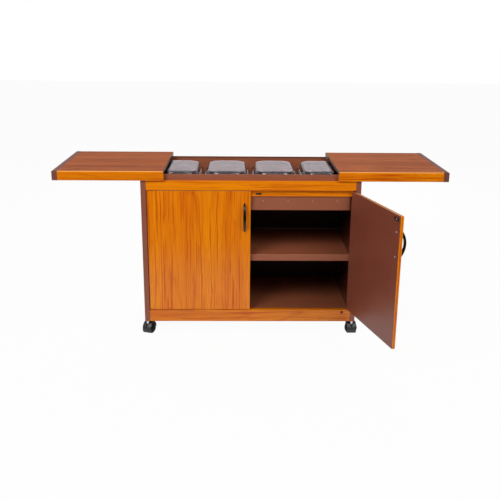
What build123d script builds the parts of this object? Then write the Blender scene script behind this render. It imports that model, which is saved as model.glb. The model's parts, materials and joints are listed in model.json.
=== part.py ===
from build123d import *
import os

# Food warmer trolley in millimetres. X runs to the right, Y to the back and Z up.
# The origin is on the floor, under the middle of the cabinet.
# Right-hand pieces are drawn first, and the left-hand ones are their mirror images.

# Clearances
press_gap = 0.02            # pieces pressed together, on the radius
running_gap = 0.05          # pins and axles in their bores, on the radius
seat_gap = 0.3              # pieces that rest on each other and can part
glide_gap = 0.3             # sliding faces

# Cabinet frame
body_width = 916.0
body_depth = 470.0
castor_height = 63.0        # floor to the underside of the frame
bottom_rail_height = 54.5
door_opening_height = 528.5
top_rail_height = 40.5
post_size = 22.0
post_wall = 1.5
post_corner = 2.0
post_plug = 40.0            # solid lower end of a post, which holds the castor stem
cap_spigot = 12.0
edge_ease = 1.5             # rounding of the edges of boards

# Panels and liners
side_panel_thickness = 14.0
side_panel_recess = 3.0
back_panel_thickness = 14.0
sheet = 1.0                 # painted sheet steel
liner_inset = 12.0          # liner face inside the posts
floor_flange = 20.0
lath_height = 27.5

# Shelf
shelf_height = 245.5        # shelf top above the cupboard floor
shelf_lip = 28.5
shelf_flange = 14.0
shelf_sheet = 1.2
shelf_bend = 3.0
shelf_side_gap = 0.5
shelf_front_gap = 2.0
shelf_back_gap = 8.0
shelf_pin_radius = 3.0
shelf_pin_reach = 11.0      # peg inside the cupboard
shelf_pin_tail = 3.0        # end behind the liner
shelf_pin_inset = 66.0      # pegs from the shelf's front and back edges

# Dish well
rim_height = 24.5           # rim above the top rail
rim_step = 7.0              # rim out over the rail and the back panel
well_depth = 152.0
well_side_gap = 1.0
well_corner = 12.0
well_flange = 12.0          # rim turned in at the two ends
well_hem = 6.0              # rim turned in at the front and the back
well_mouth_corner = 4.0
dish_seat_depth = 108.5     # rim down to the bars that carry the dishes
bar_width = 8.0
bar_height = 10.0
bar_screw_radius = 1.6
bar_screw_head = 3.5
bar_screw_head_height = 1.8
bar_screw_bite = 12.0
screw_hole_gap = 0.2
screw_pocket_gap = 0.8      # round the screw heads behind the back wall

# Dishes and lids
dish_count = 4
dish_gap = 16.0             # between the rims of two dishes
dish_side_gap = 15.0        # outer dishes to the sides of the well
dish_length = 302.0         # over the rim
dish_height = 75.7
dish_wall = 5.0
dish_rim_width = 7.0
dish_rim_height = 5.0
dish_rim_corner = 44.0
dish_draft = 12.0           # walls lean out, on each side
dish_lug_width = 84.0
dish_lug_reach = 20.0
lid_height = 28.7
lid_wall = 4.0
lid_rim_width = 8.0
lid_rim_height = 4.0
lid_draft = 10.0
lid_crown_round = 7.0
lid_edge_inset = 2.0        # lid rim inside the dish rim
lid_lip_height = 3.0
lid_lip_gap = 1.5

# Heating and wiring
element_radius = 3.25
element_pitch = 80.0        # between its straight runs
element_runs = 4
element_turn_inset = 90.0   # bends from the side walls of the well
element_hole_gap = 0.6
thermostat_radius = 12.0
thermostat_depth = 8.0
thermostat_y = 60.0
thermostat_drop = 66.0      # below the heating element
lead_radius = 1.8
lead_bend = 14.0
lead_hole_gap = 2.0
lead_entry_step = 14.0      # between the leads' holes in the terminal box
lead_entry_height = 11.0    # above the bottom of the terminal box
terminal_box_size = (85.0, 50.0, 35.0)
terminal_box_wall = 2.0
terminal_box_side_gap = 23.0
terminal_box_back_gap = 13.0
lamp_radius = 6.5
lamp_body_radius = 4.8
lamp_proud = 3.0
lamp_body_length = 40.0
lamp_hole_gap = 0.2
lamp_from_post = 36.0
lamp_below_top = 11.5       # under the top edge of the bottom rail
gland_radius = 11.0
gland_thread_radius = 8.0
gland_flange = 4.0
gland_nose = 9.0
gland_nose_radius = 7.0
gland_nut = 5.0
gland_bore_radius = 4.0
gland_from_post = 63.0
gland_height = 22.0         # above the underside of the frame

# Sliding tops
slide_gap = 1.5             # above the top rail
slide_height = 39.5
slide_board_thickness = 10.0
slide_board_round = 4.0     # long upper edges of the board
slide_overhang = 10.0       # in front of and behind the cabinet
slide_closing_gap = 2.0     # between the two tops when they meet
apron_thickness = 16.0
moulding_width = 23.0
moulding_round = 4.0
trim_thickness = 1.5
runner_length = 42.5        # part of the well's hem that stays gripped with the top slid out
runner_width = 13.0
runner_web = 5.5
runner_foot = 5.0
runner_foot_reach = 4.5
runner_inset = 3.0          # runner behind the inner end of its top
runner_stop_gap = 0.5

# Doors
door_thickness = 14.0
door_stop_gap = 2.0         # closed door to its stop lath
door_side_gap = 3.0         # to the post
door_meeting_gap = 3.0      # between the two doors
door_end_gap = 2.0          # to the rails
door_open_angle = 105.5     # right door at rest
pivot_from_edge = 3.0
pivot_from_face = 4.0
pivot_radius = 1.5
pivot_reach = 4.0           # pin past its plate, into the door
pivot_hole_gap = 0.6
pivot_plate_length = 30.0
pivot_plate_width = 10.0
pivot_plate_thickness = 2.0
pivot_plate_inset = 1.2     # from the door's face
pivot_base_length = 12.0
pivot_base_width = 8.0
pivot_base_thickness = 1.2
pivot_base_inset = 0.5      # from the post and from the rail's face

# Door fittings
handle_pitch = 96.0         # between its screws
handle_length = 124.0
handle_reach = 27.0
handle_grip = 7.0
handle_width = 12.0
handle_end_width = 6.0
handle_foot = 18.0
handle_round = 1.5
handle_from_edge = 25.0
handle_drop = 113.5         # its middle under the top of the door
handle_screw_radius = 2.0
handle_screw_head = 4.0
handle_screw_head_height = 1.6
handle_screw_bite = 8.0
strike_length = 38.0
strike_height = 13.0
strike_thickness = 1.2
strike_from_edge = 30.5     # its middle
strike_drop = 17.0          # its middle under the top of the door
strike_screw_radius = 1.5
strike_screw_head = 3.0
strike_screw_head_height = 0.6
strike_screw_bite = 8.0
catch_drop = 14.5           # its middle under the top of the door
catch_length = 24.0
catch_height = 7.5
catch_proud = 0.4
catch_pocket = 4.0

# Castors
wheel_radius = 25.0
wheel_tread = 8.0
wheel_dome = 12.0
wheel_edge = 1.5
wheel_gap = 14.0            # between the two wheels
wheel_bore_depth = 12.0
axle_radius = 3.0
axle_end_gap = 1.0
castor_trail = 14.0         # axle behind the stem
hood_wall = 5.0
hood_wheel_gap = 1.5        # over the treads
hood_web_gap = 0.6          # beside the wheels
hood_half_width = 20.0
hood_crown = 3.0            # fall from the middle to the sides
hood_lip_height = 9.0       # front edge of the hood above the floor
hood_heel = 10.0            # web behind the axle
hood_tail = 2.0             # rear edge of the hood below the axle
hood_corner = 4.0
hood_round = 1.2
stem_radius = 5.5
stem_grip = 38.0            # length inside the post
stem_seat = 23.0            # seat in the hood above the axle
stem_recess_gap = 0.7
pintle_radius = 4.0
pintle_length = 16.0
pintle_end_gap = 0.5
notch_flare = 3.0
notch_drop = 11.0           # groove in front of the stem, below its seat
notch_rise = 10.0           # height of its pointed end
notch_wall = 1.5            # left between the groove and the pintle
castor_angles = {"front_left": -20.0, "front_right": 1.0, "rear_left": 15.0, "rear_right": -10.0}

# Places worked out from the driving sizes
half_width = body_width / 2
half_depth = body_depth / 2
front = -half_depth
frame_bottom = castor_height
floor_level = frame_bottom + bottom_rail_height
opening_top = floor_level + door_opening_height
rail_top = opening_top + top_rail_height
post_x = half_width - post_size / 2
post_y = half_depth - post_size / 2
inner_x = half_width - post_size
inner_y = half_depth - post_size
tube_bore = post_size - 2 * post_wall
liner_x = inner_x - liner_inset
panel_x = half_width - side_panel_recess - side_panel_thickness
stop_y = front + door_thickness + door_stop_gap
shelf_top = floor_level + shelf_height
well_x = liner_x - well_side_gap
rim_top = rail_top + rim_height
well_bottom = rim_top - well_depth
bar_top = rim_top - dish_seat_depth
bar_middle = bar_top - bar_height / 2
dish_bottom = bar_top + seat_gap
dish_rim = dish_bottom + dish_height
lid_bottom = dish_rim + seat_gap
dish_pitch = (2 * (well_x - sheet - dish_side_gap) + dish_gap) / dish_count
dish_width = dish_pitch - dish_gap
dish_centres = [(i - (dish_count - 1) / 2) * dish_pitch for i in range(dish_count)]
bar_places = [x + side * dish_pitch / 4 for x in dish_centres for side in (-1, 1)]
element_z = bar_top - bar_height - seat_gap - element_radius
element_end_y = element_pitch * (element_runs - 1) / 2
lead_x = (liner_x + sheet + panel_x) / 2
thermostat_z = element_z - thermostat_drop
slide_bottom = rail_top + slide_gap
slide_top = slide_bottom + slide_height
board_bottom = slide_top - slide_board_thickness
slide_front = front - slide_overhang
runner_end = well_x - sheet - well_flange - well_mouth_corner - runner_stop_gap
slide_inner = runner_end - runner_length - runner_inset
slide_travel = slide_inner - slide_closing_gap / 2
slide_outer = half_width + slide_travel
hinge_edge = inner_x - door_side_gap
free_edge = door_meeting_gap / 2
door_bottom = floor_level + door_end_gap
door_top = opening_top - door_end_gap
door_inner = front + door_thickness
pivot_x = hinge_edge - pivot_from_edge
pivot_y = front + pivot_from_face
handle_x = free_edge + handle_from_edge
handle_z = door_top - handle_drop
strike_x = free_edge + strike_from_edge
strike_z = door_top - strike_drop
catch_z = door_top - catch_drop
strike_face = door_inner + strike_thickness
strike_seat = strike_face - strike_screw_head_height
lamp_x = inner_x - lamp_from_post
lamp_z = floor_level - lamp_below_top
gland_x = inner_x - gland_from_post
gland_z = frame_bottom + gland_height
hood_cavity = wheel_radius + hood_wheel_gap
hood_radius = hood_cavity + hood_wall
web_half = wheel_gap / 2 - hood_web_gap
corners = {
    "front_left": (-post_x, -post_y),
    "front_right": (post_x, -post_y),
    "rear_left": (-post_x, post_y),
    "rear_right": (post_x, post_y),
}
floor_corner = (Align.CENTER, Align.CENTER, Align.MIN)


# Shared shapes
def block(x0, x1, y0, y1, z0, z1):
    middle = Pos((x0 + x1) / 2, (y0 + y1) / 2, (z0 + z1) / 2)
    return middle * Box(x1 - x0, y1 - y0, z1 - z0)


def board(x0, x1, y0, y1, z0, z1):
    plain = block(x0, x1, y0, y1, z0, z1)
    return fillet(plain.edges(), edge_ease)


def rod(radius, length):
    return Cylinder(radius, length, align=floor_corner)


def rod_along_x(radius, x0, x1, y, z):
    return Pos(x0, y, z) * Rot(0, 90, 0) * rod(radius, x1 - x0)


def rod_along_y(radius, x, y0, y1, z):
    return Pos(x, y0, z) * Rot(-90, 0, 0) * rod(radius, y1 - y0)


def rod_along_z(radius, x, y, z0, z1):
    return Pos(x, y, z0) * rod(radius, z1 - z0)


def screw(shank_radius, shank_length, head_radius, head_height):
    shank = rod(shank_radius, shank_length)
    head = Pos(0, 0, -head_height) * rod(head_radius, head_height)
    return shank + head


def rounded_slab(width, length, corner, z0, z1):
    return extrude(Pos(0, 0, z0) * RectangleRounded(width, length, corner), z1 - z0)


def tapered_slab(lower, upper, z0, z1):
    sections = [
        Pos(0, 0, z0) * RectangleRounded(*lower),
        Pos(0, 0, z1) * RectangleRounded(*upper),
    ]
    return loft(sections)


def swept_tube(radius, path):
    start = Plane(origin=path @ 0, z_dir=path % 0)
    return sweep(start * Circle(radius), path=path)


def group(parts):
    return Compound([solid for part in parts for solid in part.solids()])


def mirrored(part):
    return mirror(part, about=Plane.YZ)


def both_sides(part):
    return group([part, mirrored(part)])


def opened(part):
    return Pos(pivot_x, pivot_y, 0) * Rot(0, 0, door_open_angle) * Pos(-pivot_x, -pivot_y, 0) * part


# Frame
def corner_post():
    section = RectangleRounded(post_size, post_size, post_corner) - Rectangle(tube_bore, tube_bore)
    tube = extrude(section, rail_top - frame_bottom)
    plug = extrude(Rectangle(tube_bore, tube_bore), post_plug)
    return tube + plug - rod(stem_radius + press_gap, post_plug)


def post_cap():
    head = extrude(RectangleRounded(post_size, post_size, post_corner), slide_gap - glide_gap)
    spigot_size = tube_bore - 2 * press_gap
    spigot = Pos(0, 0, -cap_spigot) * extrude(Rectangle(spigot_size, spigot_size), cap_spigot)
    return head + spigot


def castor_stem():
    shoulder = wheel_radius + stem_seat + seat_gap
    shank = rod_along_z(stem_radius, 0, 0, shoulder, frame_bottom + stem_grip)
    pintle = rod_along_z(pintle_radius, 0, 0, shoulder - pintle_length, shoulder)
    return shank + pintle


def at_corners(part, z):
    return group([Pos(x, y, z) * part for x, y in corners.values()])


def side_panel():
    return board(panel_x, panel_x + side_panel_thickness, -inner_y, inner_y, frame_bottom, rail_top)


def back_panel():
    panel = board(-inner_x, inner_x, inner_y, inner_y + back_panel_thickness, frame_bottom, rail_top)
    panel -= rod_along_y(
        gland_thread_radius + press_gap, gland_x, inner_y, inner_y + back_panel_thickness, gland_z
    )
    pocket_radius = bar_screw_head + screw_pocket_gap
    pocket_depth = bar_screw_head_height + screw_pocket_gap
    for x in bar_places:
        panel -= rod_along_y(pocket_radius, x, inner_y, inner_y + pocket_depth, bar_middle)
    return panel


def top_rail():
    return board(-inner_x, inner_x, front, -inner_y, opening_top, rail_top)


def bottom_rail():
    rail = board(-inner_x, inner_x, front, -inner_y, frame_bottom, floor_level)
    return rail - rod_along_y(lamp_body_radius + lamp_hole_gap, lamp_x, front, -inner_y, lamp_z)


# Cupboard
def side_liner():
    face = block(liner_x, liner_x + sheet, stop_y, inner_y, floor_level, opening_top)
    flange = block(liner_x, inner_x, stop_y, stop_y + sheet, floor_level, opening_top)
    upper = block(liner_x, liner_x + sheet, -inner_y, inner_y, opening_top, rail_top)
    liner = face + flange + upper
    for y in (-element_end_y, element_end_y):
        hole_radius = element_radius + element_hole_gap
        liner -= rod_along_x(hole_radius, liner_x, liner_x + sheet, y, element_z)
    for x, y, z in shelf_pin_places():
        liner -= rod_along_x(shelf_pin_radius + press_gap, liner_x, liner_x + sheet, y, z)
    return liner


def door_stop_lath():
    end = liner_x - shelf_side_gap
    lath = board(-end, end, stop_y, -inner_y, opening_top - lath_height, opening_top)
    for side in (-1, 1):
        lath -= catch_block(side, stop_y - catch_proud)
    return lath


def catch_block(side, face_y):
    x = side * strike_x
    half = catch_length / 2
    low = catch_z - catch_height / 2
    return block(x - half, x + half, face_y, stop_y + catch_pocket, low, low + catch_height)


def magnetic_catches():
    return group([catch_block(side, stop_y - catch_proud) for side in (-1, 1)])


def cupboard_floor():
    plate = block(-panel_x, panel_x, -inner_y, inner_y, floor_level - sheet, floor_level)
    flange_bottom = floor_level - floor_flange
    front_flange = block(-inner_x, inner_x, -inner_y, sheet - inner_y, flange_bottom, floor_level)
    rear_flange = block(-inner_x, inner_x, inner_y - sheet, inner_y, flange_bottom, floor_level)
    tray = plate + front_flange + rear_flange
    for y in lead_drops():
        hole_radius = lead_radius + lead_hole_gap
        tray -= rod_along_z(hole_radius, lead_x, y, floor_level - sheet, floor_level)
    lamp_way = rod_along_y(lamp_radius, lamp_x, -inner_y, sheet - inner_y, lamp_z)
    return tray - lamp_way


def shelf():
    x = liner_x - shelf_side_gap
    y0 = -inner_y + shelf_front_gap
    y1 = inner_y - shelf_back_gap
    plate = block(-x, x, y0, y1, shelf_top - shelf_sheet, shelf_top)
    lip = block(-x, x, y0, y0 + shelf_sheet, shelf_top - shelf_lip, shelf_top)
    tray = plate + lip
    top_edges = tray.edges().filter_by(Axis.X).group_by(Axis.Z)[-1]
    tray = fillet(top_edges.sort_by(Axis.Y)[0], shelf_bend)
    for side in (-1, 1):
        outer = side * x
        inner = side * (x - shelf_sheet)
        low = shelf_top - shelf_flange
        tray += block(min(outer, inner), max(outer, inner), y0 + shelf_bend, y1, low, shelf_top)
    return tray


def shelf_pin_places():
    z = shelf_top - shelf_flange - seat_gap - shelf_pin_radius
    y0 = -inner_y + shelf_front_gap + shelf_pin_inset
    y1 = inner_y - shelf_back_gap - shelf_pin_inset
    return [(liner_x, y, z) for y in (y0, y1)]


def shelf_pins():
    pins = []
    for x, y, z in shelf_pin_places():
        pins.append(rod_along_x(shelf_pin_radius, x - shelf_pin_reach, x + sheet + shelf_pin_tail, y, z))
    return both_sides(group(pins))


# Dish well
def dish_well():
    width = 2 * well_x
    length = 2 * inner_y
    rim_length = length + 2 * rim_step
    thin = 2 * sheet
    bend = well_corner - sheet
    outer = rounded_slab(width, length, well_corner, well_bottom, rim_top)
    outer += rounded_slab(width, rim_length, well_corner, rail_top, rim_top)
    hollow = rounded_slab(width - thin, length - thin, bend, well_bottom + sheet, rim_top - sheet)
    hollow += rounded_slab(width - thin, rim_length - thin, bend, rail_top + sheet, rim_top - sheet)
    mouth_width = width - 2 * (sheet + well_flange)
    mouth_length = rim_length - 2 * (sheet + well_hem)
    mouth = rounded_slab(mouth_width, mouth_length, well_mouth_corner, rim_top - sheet, rim_top)
    well = outer - hollow - mouth
    for x in bar_places:
        hole_radius = bar_screw_radius + screw_hole_gap
        well -= rod_along_y(hole_radius, x, -inner_y, sheet - inner_y, bar_middle)
        well -= rod_along_y(hole_radius, x, inner_y - sheet, inner_y, bar_middle)
    for y in (-element_end_y, element_end_y):
        well -= rod_along_x(element_radius + element_hole_gap, well_x - sheet, well_x, y, element_z)
    return well


def dish_bars():
    bars = []
    end = inner_y - sheet
    for x in bar_places:
        bar = block(x - bar_width / 2, x + bar_width / 2, -end, end, bar_top - bar_height, bar_top)
        for y0, y1 in ((-end, bar_screw_bite - end), (end - bar_screw_bite, end)):
            bar -= rod_along_y(bar_screw_radius + press_gap, x, y0, y1, bar_middle)
        bars.append(bar)
    return group(bars)


def well_screws():
    pattern = screw(
        bar_screw_radius, sheet + bar_screw_bite - screw_hole_gap, bar_screw_head, bar_screw_head_height
    )
    screws = []
    for x in bar_places:
        screws.append(Pos(x, -inner_y, bar_middle) * Rot(-90, 0, 0) * pattern)
        screws.append(Pos(x, inner_y, bar_middle) * Rot(90, 0, 0) * pattern)
    return group(screws)


def serving_dish(x):
    corner = dish_rim_corner
    body_width_top = dish_width - 2 * dish_rim_width
    body_length_top = dish_length - 2 * dish_rim_width
    body_corner = corner - dish_rim_width
    foot = (body_width_top - 2 * dish_draft, body_length_top - 2 * dish_draft, body_corner - dish_draft)
    mouth = (body_width_top, body_length_top, body_corner)
    shell = tapered_slab(foot, mouth, dish_bottom, dish_rim)
    shell += rounded_slab(dish_width, dish_length, corner, dish_rim - dish_rim_height, dish_rim)
    lug_length = dish_length + 2 * dish_lug_reach
    lugs = rounded_slab(dish_lug_width, lug_length, dish_lug_reach, dish_rim - dish_rim_height, dish_rim)
    thin = 2 * dish_wall
    inner_foot = (foot[0] - thin, foot[1] - thin, foot[2] - dish_wall)
    inner_mouth = (mouth[0] - thin, mouth[1] - thin, mouth[2] - dish_wall)
    hollow = tapered_slab(inner_foot, inner_mouth, dish_bottom + dish_wall, dish_rim)
    return Pos(x, 0, 0) * (shell + lugs - hollow)


def glass_lid(x):
    rim_width = dish_width - 2 * lid_edge_inset
    rim_length = dish_length - 2 * lid_edge_inset
    rim_corner = dish_rim_corner - lid_edge_inset
    rim_z = lid_bottom + lid_rim_height
    lid_top = lid_bottom + lid_height
    base = (rim_width - 2 * lid_rim_width, rim_length - 2 * lid_rim_width, rim_corner - lid_rim_width)
    crown = tuple(size - 2 * lid_draft for size in base[:2]) + (base[2] - lid_draft,)
    dome = tapered_slab(base, crown, lid_bottom, lid_top)
    top_edges = dome.faces().sort_by(Axis.Z)[-1].edges()
    dome = fillet(top_edges, lid_crown_round)
    dome += rounded_slab(rim_width, rim_length, rim_corner, lid_bottom, rim_z)
    mouth_inset = 2 * (dish_rim_width + dish_wall + lid_lip_gap)
    lip_width = dish_width - mouth_inset
    lip_length = dish_length - mouth_inset
    lip_corner = dish_rim_corner - mouth_inset / 2
    dome += rounded_slab(lip_width, lip_length, lip_corner, dish_rim - lid_lip_height, lid_bottom)
    inner_base = (lip_width - 2 * lid_wall, lip_length - 2 * lid_wall, lip_corner - lid_wall)
    inner_crown = tuple(size - 2 * lid_wall for size in crown[:2]) + (crown[2] - lid_wall,)
    hollow = tapered_slab(inner_base, inner_crown, dish_rim - lid_lip_height, lid_top - lid_wall)
    crown_edges = hollow.faces().sort_by(Axis.Z)[-1].edges()
    hollow = fillet(crown_edges, lid_crown_round - lid_wall)
    return Pos(x, 0, 0) * (dome - hollow)


# Heating and wiring
def heating_element():
    far = well_x - element_turn_inset
    bend = element_pitch / 2
    ys = [element_pitch * (i - (element_runs - 1) / 2) for i in range(element_runs)]
    x = lead_x
    edges = []
    for i, y in enumerate(ys):
        last = i == len(ys) - 1
        side = -1 if i % 2 == 0 else 1
        end_x = lead_x if last else side * far
        edges.append(Line((x, y, element_z), (end_x, y, element_z)))
        x = end_x
        if not last:
            edges.append(
                ThreePointArc(
                    (x, y, element_z), (x + side * bend, y + bend, element_z), (x, y + 2 * bend, element_z)
                )
            )
    return swept_tube(element_radius, Wire(edges))


def thermostat():
    x = liner_x + sheet
    can = rod_along_x(thermostat_radius, x, x + thermostat_depth, thermostat_y, thermostat_z)
    edge = can.faces().sort_by(Axis.X)[-1].edges()
    return fillet(edge, sheet)


def lead_drops():
    return (-element_end_y, thermostat_y, element_end_y)


def terminal_box_place():
    width, length, height = terminal_box_size
    x1 = panel_x - terminal_box_side_gap
    y1 = inner_y - terminal_box_back_gap
    top = floor_level - sheet
    return x1 - width, x1, y1 - length, y1, top - height, top


def lead_entries():
    x0, x1, y0, y1, z0, z1 = terminal_box_place()
    count = len(lead_drops())
    first = x1 - lead_entry_step / 2
    return [(first - lead_entry_step * (count - 1 - i), y0, z0 + lead_entry_height) for i in range(count)]


def terminal_box():
    x0, x1, y0, y1, z0, z1 = terminal_box_place()
    wall = terminal_box_wall
    box = block(x0, x1, y0, y1, z0, z1)
    box = fillet(box.edges().filter_by(Axis.Z), wall)
    box -= block(x0 + wall, x1 - wall, y0 + wall, y1 - wall, z0 + wall, z1)
    hole_radius = lead_radius + lead_hole_gap
    for x, y, z in lead_entries():
        box -= rod_along_y(hole_radius, x, y, y + wall, z)
    return box - rod_along_y(hole_radius, lamp_x, y0, y0 + wall, lamp_z)


def leads():
    tops = (
        element_z - element_radius - seat_gap,
        thermostat_z - thermostat_radius - seat_gap,
        element_z - element_radius - seat_gap,
    )
    tubes = []
    for y, top, (end_x, end_y, end_z) in zip(lead_drops(), tops, lead_entries()):
        points = [(lead_x, y, top), (lead_x, y, end_z), (end_x, end_y + terminal_box_wall, end_z)]
        tubes.append(swept_tube(lead_radius, FilletPolyline(points, radius=lead_bend)))
    box_front = terminal_box_place()[2]
    lamp_back = front + lamp_body_length
    tubes.append(rod_along_y(lead_radius, lamp_x, lamp_back, box_front + terminal_box_wall, lamp_z))
    return group(tubes)


def pilot_lamp():
    lens = rod_along_y(lamp_radius, lamp_x, front - lamp_proud, front, lamp_z)
    rim = lens.faces().sort_by(Axis.Y)[0].edges()
    lens = fillet(rim, lamp_proud / 2)
    return lens + rod_along_y(lamp_body_radius, lamp_x, front, front + lamp_body_length, lamp_z)


def cord_gland():
    inside = inner_y - gland_nut
    outside = inner_y + back_panel_thickness
    thread = rod_along_y(gland_thread_radius, gland_x, inside, outside, gland_z)
    nut = rod_along_y(gland_radius, gland_x, inside, inner_y, gland_z)
    flange = rod_along_y(gland_radius, gland_x, outside, outside + gland_flange, gland_z)
    nose_end = outside + gland_flange + gland_nose
    nose = rod_along_y(gland_nose_radius, gland_x, outside + gland_flange, nose_end, gland_z)
    nose = fillet(nose.faces().sort_by(Axis.Y)[-1].edges(), sheet)
    bore = rod_along_y(gland_bore_radius, gland_x, inside, nose_end, gland_z)
    return thread + nut + flange + nose - bore


# Sliding tops
def top_board():
    x0 = slide_inner + trim_thickness
    x1 = slide_outer - moulding_width
    plain = block(x0, x1, slide_front, -slide_front, board_bottom, slide_top)
    long_edges = plain.faces().sort_by(Axis.Z)[-1].edges().filter_by(Axis.X)
    return fillet(long_edges, slide_board_round)


def aprons():
    x1 = slide_outer - moulding_width
    inner = slide_front + apron_thickness
    front_apron = block(slide_inner, x1, slide_front, inner, slide_bottom, board_bottom)
    lower_edges = front_apron.faces().sort_by(Axis.Z)[0].edges().filter_by(Axis.X)
    front_apron = fillet(lower_edges, edge_ease)
    return group([front_apron, mirror(front_apron, about=Plane.XZ)])


def end_moulding():
    bar = block(
        slide_outer - moulding_width, slide_outer, slide_front, -slide_front, slide_bottom, slide_top
    )
    outer_edges = bar.faces().sort_by(Axis.X)[-1].edges().filter_by(Axis.Y)
    return fillet(outer_edges, moulding_round)


def inner_trim():
    strip = block(
        slide_inner, slide_inner + trim_thickness, slide_front, -slide_front, board_bottom, slide_top
    )
    corners_up = strip.faces().sort_by(Axis.Z)[-1].edges().filter_by(Axis.X)
    return fillet(corners_up, slide_board_round)


def runners():
    x0 = slide_inner + runner_inset
    x1 = runner_end
    hem_edge = inner_y + rim_step - sheet - well_hem
    web_y1 = hem_edge - glide_gap
    web_y0 = web_y1 - runner_web
    foot_top = rim_top - sheet - glide_gap
    foot_bottom = foot_top - runner_foot
    arm = block(x0, x1, web_y0, web_y0 + runner_width, rim_top + glide_gap, board_bottom)
    web = block(x0, x1, web_y0, web_y1, foot_bottom, board_bottom)
    foot = block(x0, x1, web_y1, web_y1 + runner_foot_reach, foot_bottom, foot_top)
    rear = arm + web + foot
    return group([rear, mirror(rear, about=Plane.XZ)])


# Doors, drawn closed
def pivot_plate_places():
    thickness = pivot_plate_thickness
    return ((door_bottom, door_bottom + thickness), (door_top - thickness, door_top))


def pivot_plate(z0, z1):
    x0 = hinge_edge - pivot_plate_length
    y0 = front + pivot_plate_inset
    return block(x0, hinge_edge, y0, y0 + pivot_plate_width, z0, z1)


def pivot_plates():
    bore = rod_along_z(pivot_radius + running_gap, pivot_x, pivot_y, door_bottom, door_top)
    return group([pivot_plate(z0, z1) - bore for z0, z1 in pivot_plate_places()])


def pivot_pins():
    depth = door_end_gap + pivot_plate_thickness + pivot_reach
    x1 = inner_x - pivot_base_inset
    y0 = front + pivot_base_inset
    x0 = x1 - pivot_base_length
    y1 = y0 + pivot_base_width
    lower = block(x0, x1, y0, y1, floor_level, floor_level + pivot_base_thickness)
    lower += rod_along_z(pivot_radius, pivot_x, pivot_y, floor_level, floor_level + depth)
    upper = block(x0, x1, y0, y1, opening_top - pivot_base_thickness, opening_top)
    upper += rod_along_z(pivot_radius, pivot_x, pivot_y, opening_top - depth, opening_top)
    return both_sides(group([lower, upper]))


def handle_screw_places():
    return [handle_z + side * handle_pitch / 2 for side in (-1, 1)]


def door_panel():
    panel = board(free_edge, hinge_edge, front, door_inner, door_bottom, door_top)
    pin_depth = pivot_plate_thickness + pivot_reach + pivot_hole_gap
    pin_hole = pivot_radius + pivot_hole_gap
    for z0, z1 in pivot_plate_places():
        panel -= pivot_plate(z0, z1)
    for z0, z1 in ((door_bottom, door_bottom + pin_depth), (door_top - pin_depth, door_top)):
        panel -= rod_along_z(pin_hole, pivot_x, pivot_y, z0, z1)
    for z in handle_screw_places():
        panel -= rod_along_y(handle_screw_radius + screw_hole_gap, handle_x, front, door_inner, z)
    hole_radius = strike_screw_radius + press_gap
    return panel - rod_along_y(hole_radius, strike_x, door_inner - strike_screw_bite, door_inner, strike_z)


def bow_handle():
    half = handle_length / 2
    opening = half - handle_foot
    depth = handle_reach - handle_grip
    outer = ThreePointArc((0, -half), (-handle_reach, 0), (0, half))
    upper_foot = Line((0, half), (0, opening))
    inner = ThreePointArc((0, opening), (-depth, 0), (0, -opening))
    lower_foot = Line((0, -opening), (0, -half))
    side_view = make_face([outer, upper_foot, inner, lower_foot])
    bow = extrude(Plane.YZ * side_view, handle_width, both=True)
    edge = handle_end_width / 2
    middle = handle_width / 2
    right_edge = ThreePointArc((edge, -half), (middle, 0), (edge, half))
    top_edge = Line((edge, half), (-edge, half))
    left_edge = ThreePointArc((-edge, half), (-middle, 0), (-edge, -half))
    bottom_edge = Line((-edge, -half), (edge, -half))
    front_view = make_face([right_edge, top_edge, left_edge, bottom_edge])
    leaf = extrude(Plane.XZ * front_view, handle_reach + handle_grip)
    handle = bow & leaf
    long_edges = [e for e in handle.edges() if e.length > handle_pitch / 2]
    handle = fillet(long_edges, handle_round)
    for z in (-handle_pitch / 2, handle_pitch / 2):
        handle -= rod_along_y(handle_screw_radius + press_gap, 0, -handle_screw_bite, 0, z)
    return Pos(handle_x, front, handle_z) * handle


def door_screws():
    long_screw = screw(
        handle_screw_radius,
        door_thickness + handle_screw_bite - screw_hole_gap,
        handle_screw_head,
        handle_screw_head_height,
    )
    short_screw = screw(
        strike_screw_radius,
        strike_seat - door_inner + strike_screw_bite - screw_hole_gap,
        strike_screw_head,
        strike_screw_head_height,
    )
    screws = [Pos(handle_x, door_inner, z) * Rot(90, 0, 0) * long_screw for z in handle_screw_places()]
    screws.append(Pos(strike_x, strike_seat, strike_z) * Rot(90, 0, 0) * short_screw)
    return group(screws)


def strike_plate():
    half = strike_length / 2
    low = strike_z - strike_height / 2
    plate = block(strike_x - half, strike_x + half, door_inner, strike_face, low, low + strike_height)
    plate -= rod_along_y(strike_screw_radius + press_gap, strike_x, door_inner, strike_face, strike_z)
    return plate - rod_along_y(strike_screw_head + press_gap, strike_x, strike_seat, strike_face, strike_z)


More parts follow.
